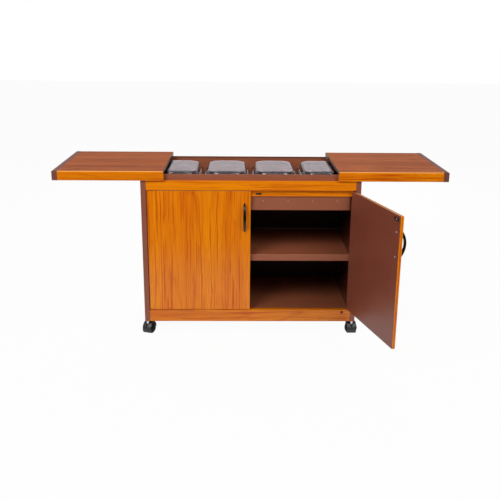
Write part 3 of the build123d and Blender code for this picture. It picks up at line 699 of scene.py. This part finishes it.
def set_out(pattern, part, bodies, finish):
    """Copies a glass pattern to its four places."""
    for number, body in bodies.items():
        node = f"{part}_{number}"
        shift = Matrix.Translation((centre(node).x, 0, 0))
        place(copied(pattern, "glass_" + node, shift), finish, body, "clear_glass", node)
    discard(pattern)


# Small fittings
def cross_head(name, radius, height, shank, reach):
    """A pan-head screw with a cross recess. Its head stands on the XY plane and its shank goes down."""
    head = cylinder(name, 24, radius, height)
    pick_side(head, DOWN)
    bpy.ops.mesh.inset(thickness=radius - shank)
    push((0, 0, -reach))
    pick(head, lambda e: min(v.co.z for v in e.verts) > height * 0.9 and len(e.link_faces) == 2, "edges")
    bpy.ops.mesh.bevel(offset=height * 0.55, segments=4, affect="EDGES")
    close(head)
    span, breadth = radius * 1.15, radius * 0.26
    for size in ((breadth, span, height), (span, breadth, height)):
        arm = slab("recess", size, height)
        pick_side(arm, DOWN)
        bpy.ops.transform.resize(value=(0.7, 0.7, 1), center_override=(0, 0, height / 2))
        bpy.ops.object.mode_set(mode="OBJECT")
        modify(head, "BOOLEAN", object=arm, operation="DIFFERENCE", solver="EXACT")
        discard(arm)
    return close(head, 30.0)


def dome_rivet(name, radius):
    """A low domed rivet head on the XY plane."""
    rivet = cylinder(name, 20, radius, 0.3 * MM)
    pick_side(rivet, UP)
    for rise, scale in ((0.45, 0.93), (0.35, 0.82), (0.2, 0.62), (0.08, 0.5)):
        push((0, 0, rise * MM), (scale, scale, 1))
    return close(rivet, 60.0)


def castor_wheel(radius):
    """One wheel of a twin castor, its axle along X and its inner face towards the middle."""
    inner, tread, dome = 7 * MM, 8 * MM, 12 * MM
    wheel = start(
        "wheel_pattern",
        bpy.ops.mesh.primitive_cylinder_add,
        vertices=56,
        radius=radius,
        depth=tread,
        location=(inner + tread / 2, 0, 0),
        rotation=(0, math.pi / 2, 0),
    )
    pick_side(wheel, LEFT)
    for inwards, rise in ((3.5, 0.0), (1.0, -4.0), (12.5, 0.0), (0.5, 3.9)):
        bpy.ops.mesh.inset(thickness=inwards * MM, depth=rise * MM)
    pick_side(wheel, RIGHT)
    cap = (radius**2 + dome**2) / (2 * dome)

    def bulge(share, sunk=0.0):
        return share, dome - cap + math.sqrt(cap**2 - (share * radius) ** 2) - sunk * MM

    rings = [bulge(share) for share in (1.0, 0.95, 0.88, 0.80, 0.72)]
    rings += [bulge(0.70, 0.35), bulge(0.66, 0.35), bulge(0.64), bulge(0.50)]
    rings += [bulge(0.36), bulge(0.34, 0.3), bulge(0.31, 0.3), bulge(0.29), bulge(0.14), bulge(0.05)]
    for before, after in zip(rings, rings[1:]):
        scale = after[0] / before[0]
        push((after[1] - before[1], 0, 0), (1, scale, scale))
    pick(wheel, lambda e: abs(middle(e).x - inner) < TOUCHING and middle(e).length > radius * 0.98, "edges")
    bpy.ops.mesh.bevel(offset=1.4 * MM, segments=3, affect="EDGES")
    return close(wheel, 40.0)


def lamp_lens(radius, proud):
    """A domed lens with a thin flange, standing on the XY plane."""
    flange, groove, barrel = 0.8 * MM, 0.15 * MM, 40 * MM
    lens = cylinder("lens_pattern", 32, radius, flange)
    pick_side(lens, UP)
    bpy.ops.mesh.inset(thickness=0.9 * MM, depth=-groove)
    rise = proud - flange + groove
    for part, scale in ((0.45, 0.97), (0.28, 0.88), (0.17, 0.72), (0.08, 0.5), (0.02, 0.4)):
        push((0, 0, rise * part), (scale, scale, 1))
    pick_side(lens, DOWN)
    bpy.ops.mesh.inset(thickness=0.7 * MM)
    push((0, 0, -barrel))
    return close(lens, 40.0)


def catch_housing(size):
    """A magnetic catch on the XY plane: a bevelled housing with a sunk face."""
    body = slab("catch_pattern", size, size[2] / 2)
    pick_side(body, UP)
    bpy.ops.mesh.inset(thickness=1.1 * MM)
    bpy.ops.mesh.inset(thickness=0.15 * MM, depth=-0.5 * MM)
    pick(body, lambda e: middle(e).z > size[2] * 0.98 and abs(middle(e).x) > size[0] * 0.49, "edges")
    bpy.ops.mesh.bevel(offset=0.3 * MM, segments=2, affect="EDGES")
    return close(body, 30.0)


def pole_strip(size, z):
    """A pole strip of a magnetic catch, with eased edges."""
    strip = slab("pole_pattern", size, z)
    pick(strip, lambda e: True, "edges")
    bpy.ops.mesh.bevel(offset=0.2 * MM, segments=2, affect="EDGES")
    return close(strip, 30.0)


def gland_nut(radius, nose, bore, flange, reach):
    """A cord gland on the XY plane: six-sided nut, ribbed nose and the cord's bore."""
    nut = cylinder("gland_pattern", 6, radius, flange)
    pick(nut, lambda e: abs(e.verts[0].co.z - e.verts[1].co.z) < TOUCHING, "edges")
    bpy.ops.mesh.bevel(offset=0.6 * MM, segments=2, affect="EDGES")
    close(nut, 25.0)
    dome = cylinder("gland_nose", 36, nose, reach * 0.72, flange)
    pick(dome, lambda f: abs(f.normal.z) < 0.1 and int(math.degrees(math.atan2(*middle(f).xy)) // 10) % 2)
    bpy.ops.mesh.inset(thickness=0.15 * MM, depth=-0.5 * MM, use_individual=True)
    pick_side(dome, UP)
    push((0, 0, reach * 0.18), (0.94, 0.94, 1))
    push((0, 0, reach * 0.10), (0.84, 0.84, 1))
    bpy.ops.mesh.inset(thickness=nose * 0.79 - bore)
    push((0, 0, -reach * 0.8))
    close(dome, 30.0)
    return joined([nut, dome], "gland_pattern")


# Operators, one for each group of like pieces
class TROLLEY_OT_wood(bpy.types.Operator):
    """Veneers the doors, rails, side panels and sliding tops, and finishes the back"""

    bl_idname = "trolley.wood"
    bl_label = "Woodwork"

    def execute(self, context):
        wood = context.scene.trolley_wood
        teak = teak_tones(wood)
        paint(veneer("teak_rails", "X", teak, strength=0.65), "top_rail", "door_stop_lath")
        deep = tuple(blend(tone, BLACK, 0.09) for tone in teak)
        paint(veneer("teak_plinth", "X", deep, strength=0.9), "bottom_rail")
        paint(veneer("teak_left_aprons", "X", deep, strength=0.7), "left_aprons")
        paint(veneer("teak_right_aprons", "X", deep, strength=1.1), "right_aprons")
        paint(veneer("teak_sides", "Z", teak, 0.30, 0.10), *both("side_panel"))
        paint(top_finish(wood), *both("top_board"))
        paint(back_finish(wood.back, context.scene.trolley_paint.inside), "back_panel")
        for side in SIDES:
            paint(door_finish(side + "_door_veneer", wood, JOINTS[side + "_door_hinge"]), side + "_door")
        return {"FINISHED"}


class TROLLEY_OT_metal(bpy.types.Operator):
    """Paints the posts, well, shelf and liners, and finishes plated and moulded parts"""

    bl_idname = "trolley.metal"
    bl_label = "Paint and plate"

    def execute(self, context):
        tone = context.scene.trolley_paint
        paint(coating("brown_enamel", tone.enamel, 0.06, 0.36), "shelf", "dish_well")
        # The cupboard floor takes the enamel 18 % darker: painted shade for the inside of the cupboard.
        paint(coating("floor_enamel", blend(tone.enamel, BLACK, 0.18), 0.06, 0.36), "cupboard_floor")
        # Posts: a darker copy of the enamel, painted shade.
        paint(coating("post_enamel", tone.post, 0.06, 0.36), "corner_posts")
        # The liners take the near-black wall colour: painted shade for the inside of the cupboard.
        paint(coating("dark_enamel", tone.inside, 0.10, 0.08), "side_liners")
        paint(coating("brown_moulding", tone.moulding, 0.10, 0.42), *both("end_moulding"), "post_caps")
        strip = coating("edge_strip", tone.trim, 0.06, 0.35, peel=900.0, drawn=(1, 0.05, 1))
        paint(strip, *both("inner_trim"))
        paint(coating("runner_nylon", tone.nylon, 0.05, 0.45), *both("runners"))
        bow = coating("gloss_black", tone.handle, 0.20, 0.12, shine=0.32, peel=60.0, depth=FINE_RELIEF / 3)
        paint(bow, *both("handle"))
        black = coating("fitting_black", tone.fittings, 0.15, 0.38)
        paint(black, *both("strike_plate"), *both("pivot_plates"), "pivot_pins")
        steel = coating("zinc_plate", tone.steel, 0.08, 0.26, 1.0, peel=500.0)
        paint(steel, "dish_bars", "shelf_pins", "thermostat")
        paint(coating("bright_plate", tone.chrome, 0.04, 0.26, 1.0), "castor_stems")
        paint(coating("element_steel", tone.element, 0.25, 0.40, 1.0, peel=260.0), "heating_element")
        paint(coating("electric_plastic", tone.electric, 0.12, 0.45), "terminal_box")
        paint(coating("lead_cover", tone.lead, 0.06, 0.50), "leads")
        hood = coating("castor_moulding", tone.hood, 0.14, 0.40, shine=0.60, peel=520.0)
        paint(hood, *(name + "_castor_hood" for name in CASTORS))
        return {"FINISHED"}


class TROLLEY_OT_dishes(bpy.types.Operator):
    """Models the four glass dishes with their rims and lugs"""

    bl_idname = "trolley.dishes"
    bl_label = "Glass dishes"

    def execute(self, context):
        tone = context.scene.trolley_paint.glass
        # The dishes' bends take a darker copy of their tint: painted shade.
        finish = clear_glass("dish_glass", tone, blend(tone, BLACK, 0.4))
        set_out(serving_dish(context.scene.trolley_glass), "dish", DISH_BODIES, finish)
        return {"FINISHED"}


class TROLLEY_OT_lids(bpy.types.Operator):
    """Models the four domed glass lids"""

    bl_idname = "trolley.lids"
    bl_label = "Glass lids"

    def execute(self, context):
        tone = context.scene.trolley_paint
        finish = clear_glass("lid_glass", tone.smoke, tone.bend)
        set_out(glass_lid(context.scene.trolley_glass), "lid", LID_BODIES, finish)
        return {"FINISHED"}


class TROLLEY_OT_screws(bpy.types.Operator):
    """Models the screws of the dish bars, the doors and the back panel, and the liner rivets"""

    bl_idname = "trolley.screws"
    bl_label = "Screws and rivets"

    def execute(self, context):
        sizes, tone = context.scene.trolley_fittings, context.scene.trolley_paint
        zinc = coating("dull_zinc", tone.steel, 0.06, 0.30, 0.35)
        self.wall_screws(sizes, tone)
        self.door_screws(sizes, zinc)
        self.rivets(sizes, zinc)
        return {"FINISHED"}

    def wall_screws(self, sizes, tone):
        """Screws at both ends of the dish bars and down both edges of the back panel."""
        pattern = cross_head(
            "screw_pattern", sizes.screw_head, sizes.screw_height, shank=1.6 * MM, reach=12.8 * MM
        )
        low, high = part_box("back_panel")
        front, bar_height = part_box("top_rail")[1].y, centre("dish_bars").z
        middles = [centre(f"dish_{number}").x for number in DISH_BODIES]
        quarter = (middles[1] - middles[0]) / 4
        spread = [x + side * quarter for x in middles for side in (-1, 1)]
        spots = [facing(FORWARDS, (x, front, bar_height)) for x in spread]
        spots += [facing(BACKWARDS, (x, low.y, bar_height)) for x in spread]
        # The lighter paint on the heads is a painted highlight.
        painted = coating("screw_paint", tone.screw, 0.06, 0.30)
        place(repeated(pattern, "bar_screws", spots), painted, "cabinet", "plated_steel", "well_screws")
        inset, rows = 14 * MM, 5
        step = (high.z - low.z - 2 * inset) / (rows - 1)
        heights = [low.z + inset + step * row for row in range(rows)]
        edges = (low.x + inset, high.x - inset)
        spots = [facing(BACKWARDS, (x, high.y, z)) for x in edges for z in heights]
        steel = coating("screw_plate", tone.steel, 0.08, 0.24, 1.0, peel=500.0)
        place(repeated(pattern, "back_panel_screws", spots), steel, "cabinet", "plated_steel")
        discard(pattern)

    def door_screws(self, sizes, zinc):
        """Two screws of the handle and one of the strike plate on each door."""
        sunk, pitch = 0.6 * MM, 96 * MM
        long_screw = cross_head(
            "handle_screw_pattern", sizes.handle_screw, 1.6 * MM, shank=2.0 * MM, reach=21.8 * MM
        )
        short_screw = cross_head(
            "strike_screw_pattern", sizes.strike_screw, sunk, shank=1.5 * MM, reach=8.6 * MM
        )
        door_face, plate_face = (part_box(node)[1].y for node in ("left_door", "left_strike_plate"))
        handle, strike = centre("left_handle"), centre("left_strike_plate")
        left = [(long_screw, (handle.x, door_face, handle.z + end * pitch / 2)) for end in (-1, 1)]
        left.append((short_screw, (strike.x, plate_face - sunk, strike.z)))
        hinge = JOINTS["right_door_hinge"]
        pivot = Matrix.Translation(Vector(hinge["pos_m"]))
        turn = pivot @ Matrix.Rotation(math.radians(-hinge["range_deg"][0]), 4, "Z") @ pivot.inverted()
        for side, mirror, swing in (("left", 1, Matrix.Identity(4)), ("right", -1, turn)):
            heads = []
            for number, (pattern, (x, y, z)) in enumerate(left):
                spot = swing @ facing(BACKWARDS, (mirror * x, y, z))
                heads.append(copied(pattern, f"{side}_screw_{number}", spot))
            screws = joined(heads, f"{side}_door_screw_heads")
            place(screws, zinc, side + "_door", "plated_steel", side + "_door_screws")
        discard(long_screw, short_screw)

    def rivets(self, sizes, zinc):
        """Three rivets in each side liner, two above the shelf and one below it."""
        pattern = dome_rivet("rivet_pattern", sizes.rivet)
        shelf_end, shelf_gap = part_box("shelf")[1], 0.5 * MM
        rear, half_way = 205 * MM, 86 * MM
        spots = []
        for inwards, face in ((RIGHT, -shelf_end.x - shelf_gap), (LEFT, shelf_end.x + shelf_gap)):
            for y, rise in ((rear, 9 * MM), (rear, 49 * MM), (half_way, -178 * MM)):
                spots.append(facing(inwards, (face, y, shelf_end.z + rise)))
        place(repeated(pattern, "liner_rivets", spots), zinc, "cabinet", "plated_steel")
        discard(pattern)


class TROLLEY_OT_castors(bpy.types.Operator):
    """Models the twin wheels of the castors"""

    bl_idname = "trolley.castors"
    bl_label = "Castor wheels"

    def execute(self, context):
        tone = context.scene.trolley_paint.wheel
        finish = coating("wheel_rubber", tone, 0.18, 0.44, shine=0.10, peel=620.0)
        pattern = castor_wheel(context.scene.trolley_fittings.wheel_radius)
        mirrored = Matrix.Scale(-1, 4, RIGHT)
        for name in CASTORS:
            joint = JOINTS[name + "_wheel_spin"]
            axle = Vector(joint["axis"])
            turn = Matrix.Rotation(math.atan2(axle.y, axle.x), 4, "Z")
            spot = Matrix.Translation(Vector(joint["pos_m"])) @ turn
            wheels = repeated(pattern, name + "_twin_wheels", (spot, spot @ mirrored))
            place(wheels, finish, name + "_wheels", "castor_wheel", name + "_castor_wheels")
        discard(pattern)
        return {"FINISHED"}


class TROLLEY_OT_fittings(bpy.types.Operator):
    """Models the magnetic catches, the pilot lamp and the cord gland"""

    bl_idname = "trolley.fittings"
    bl_label = "Catches, lamp and gland"

    def execute(self, context):
        tone = context.scene.trolley_paint
        self.catches(tone)
        self.lamp(tone)
        self.gland(tone)
        return {"FINISHED"}

    def catches(self, tone):
        """A housing with two pole strips opposite each strike plate."""
        low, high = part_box("magnetic_catches")
        width, depth = 24 * MM, high.y - low.y
        x, z = centre("left_strike_plate").x, centre("magnetic_catches").z
        spots = [facing(FORWARDS, (side * x, high.y, z)) for side in (1, -1)]
        pattern = catch_housing((width, high.z - low.z, depth))
        black = coating("catch_black", tone.fittings, 0.15, 0.36, shine=0.25)
        housings = repeated(pattern, "catch_housings", spots)
        place(housings, black, "cabinet", "black_fittings", "magnetic_catches")
        strip = pole_strip((19 * MM, 1.0 * MM, 1.2 * MM), depth - 0.7 * MM)
        offsets = [Matrix.Translation((0, y, 0)) for y in (-1.3 * MM, 1.3 * MM)]
        poles = repeated(strip, "catch_poles", [spot @ offset for spot in spots for offset in offsets])
        steel = coating("pole_plate", tone.pole, 0.08, 0.34, 0.6)
        place(poles, steel, "cabinet", "plated_steel")
        discard(pattern, strip)

    def lamp(self, tone):
        """The lens of the pilot lamp, on the face of the bottom rail."""
        low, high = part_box("pilot_lamp")
        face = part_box("bottom_rail")[0].y
        x, _, z = centre("pilot_lamp")
        pattern = lamp_lens((high.x - low.x) / 2, face - low.y)
        lens = copied(pattern, "pilot_lens", facing(FORWARDS, (x, face, z)))
        finish = coating("lamp_red", tone.lens, 0.20, 0.10, shine=0.3, peel=300.0)
        place(lens, finish, "cabinet", "lamp_lens", "pilot_lamp")
        discard(pattern)

    def gland(self, tone):
        """The gland where a cord goes through the back panel."""
        low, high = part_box("cord_gland")
        face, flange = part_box("back_panel")[1].y, 4 * MM
        x, _, z = centre("cord_gland")
        radius, reach = (high.x - low.x) / 2, high.y - face - flange
        pattern = gland_nut(radius, nose=7 * MM, bore=4 * MM, flange=flange, reach=reach)
        gland = copied(pattern, "cord_gland_nut", facing(BACKWARDS, (x, face, z)))
        finish = coating("gland_plastic", tone.electric, 0.12, 0.42)
        place(gland, finish, "cabinet", "electric_plastic", "cord_gland")
        discard(pattern)


class TROLLEY_OT_stage(bpy.types.Operator):
    """Sets the floor, the soft lamps, the world and the camera"""

    bl_idname = "trolley.stage"
    bl_label = "Stage"

    def execute(self, context):
        stage = context.scene.trolley_stage
        self.floor(stage)
        self.world(context.scene, stage)
        aim = Vector((0.0, 0.0, 0.45))
        self.lamp("key_lamp", (-1.55, -2.4, 2.6), aim, 1.5, stage.key)
        self.lamp("fill_lamp", (1.7, -2.3, 2.5), aim, 1.5, stage.fill)
        behind = self.lamp("back_lamp", (0.4, 3.0, 2.0), aim, 1.8, stage.back)
        behind.visible_glossy = behind.visible_transmission = False
        self.camera(context.scene, stage)
        context.scene.view_settings.view_transform = "Standard"
        return {"FINISHED"}

    def rays(self, finish):
        """1 for rays from the camera or through glass, and 1 for rays from gloss."""
        path = finish.add("LightPath").socket.node.outputs
        camera, glossy, through = (
            Wire(finish, path[name]) for name in ("Is Camera Ray", "Is Glossy Ray", "Is Transmission Ray")
        )
        return camera.combine("MAXIMUM", camera, through), glossy

    def floor(self, stage):
        """A pale floor, white to the camera and in gloss, that keeps the trolley's shadow."""
        bpy.ops.object.select_all(action="DESELECT")
        bpy.ops.mesh.primitive_plane_add(size=30)
        ground = bpy.context.object
        ground.name = "stage_floor"
        pale = Finish("pale_floor")
        dark_at, white_at = -1.65, -0.90
        near = pale.limits(pale.split(pale.point())[1], dark_at, white_at)
        seen, glossy = self.rays(pale)
        diffuse = pale.add("BsdfDiffuse", None, {"Color": (0.80, 0.80, 0.80)})
        white = pale.add("Emission", None, {"Color": WHITE, "Strength": seen + glossy * near})
        blended = pale.add("MixShader", None, {0: seen * stage.floor_white + glossy, 1: diffuse, 2: white})
        pale.plug(pale.tree.nodes["Material Output"].inputs["Surface"], blended)
        pale.block.cycles.emission_sampling = "NONE"
        ground.data.materials.append(pale.block)

    def world(self, scene, stage):
        """A white backdrop behind, and a darker room in front with a bright ceiling in its gloss."""
        scene.world = scene.world or bpy.data.worlds.new("studio")
        room = Finish("studio", scene.world)
        room.tree.nodes.clear()
        _, depth, height = room.split(room.add("TexCoord", output="Generated"))
        behind = room.limits(depth, -0.20, 0.15)
        lower, upper = room.limits(height, 0.66, 0.72), room.limits(height, 0.84, 0.78)
        above = room.limits(depth, 0.0, -0.20) * lower * upper
        seen, glossy = self.rays(room)
        mirrored = behind * stage.backdrop + above * stage.ceiling
        strength = seen + glossy * mirrored + (1 - seen - glossy) * stage.ambient
        sky = room.add("Background", None, {"Color": WHITE, "Strength": strength})
        room.add("OutputWorld", None, {"Surface": sky})
        scene.world.cycles.sampling_method = "NONE"

    def lamp(self, name, spot, aim, size, power):
        """A soft square lamp that looks at a point."""
        turn = (aim - Vector(spot)).to_track_quat("-Z", "Y").to_euler()
        bpy.ops.object.light_add(type="AREA", location=spot, rotation=turn)
        lamp = bpy.context.object
        lamp.name = name
        lamp.data.size = size
        lamp.data.energy = power
        return lamp

    def camera(self, scene, stage):
        """The camera of the photograph, from its place and three turns."""
        pitch, yaw, roll = stage.pitch, stage.yaw, stage.roll
        ahead = Vector((math.sin(yaw) * math.cos(pitch), math.cos(yaw) * math.cos(pitch), -math.sin(pitch)))
        level_right = Vector((math.cos(yaw), -math.sin(yaw), 0.0))
        down = ahead.cross(level_right)
        right = math.cos(roll) * level_right + math.sin(roll) * down
        drop = math.cos(roll) * down - math.sin(roll) * level_right
        turn = Matrix((right, -drop, -ahead)).transposed().to_4x4()
        bpy.ops.object.camera_add()
        camera = bpy.context.object
        camera.name = "photo_camera"
        camera.matrix_world = Matrix.Translation(Vector(stage.place)) @ turn
        camera.data.lens = stage.lens
        camera.data.sensor_width = 36.0
        scene.camera = camera


class TROLLEY_PT_panel(bpy.types.Panel):
    """Lists the steps that dress the trolley"""

    bl_idname = "TROLLEY_PT_panel"
    bl_label = "Food warmer trolley"
    bl_space_type = "VIEW_3D"
    bl_region_type = "UI"
    bl_category = "Trolley"

    def draw(self, context):
        for step in STEPS:
            self.layout.operator(step.bl_idname)
        for name in SETTINGS:
            group = getattr(context.scene, name)
            for key in group.__annotations__:
                self.layout.prop(group, key)


SETTINGS = {
    "trolley_wood": WoodColours,
    "trolley_paint": PaintColours,
    "trolley_glass": GlassSizes,
    "trolley_fittings": FittingSizes,
    "trolley_stage": StageSettings,
}
STEPS = (
    TROLLEY_OT_wood,
    TROLLEY_OT_metal,
    TROLLEY_OT_dishes,
    TROLLEY_OT_lids,
    TROLLEY_OT_screws,
    TROLLEY_OT_castors,
    TROLLEY_OT_fittings,
    TROLLEY_OT_stage,
)
CLASSES = (*SETTINGS.values(), *STEPS, TROLLEY_PT_panel)


def register():
    for cls in CLASSES:
        bpy.utils.register_class(cls)
    for name, group in SETTINGS.items():
        setattr(bpy.types.Scene, name, bpy.props.PointerProperty(type=group))


def unregister():
    for name in SETTINGS:
        delattr(bpy.types.Scene, name)
    for cls in reversed(CLASSES):
        bpy.utils.unregister_class(cls)


def main():
    register()
    bpy.ops.trolley.wood()
    bpy.ops.trolley.metal()
    bpy.ops.trolley.dishes()
    bpy.ops.trolley.lids()
    bpy.ops.trolley.screws()
    bpy.ops.trolley.castors()
    bpy.ops.trolley.fittings()
    bpy.ops.trolley.stage()


if __name__ == "__main__":
    main()
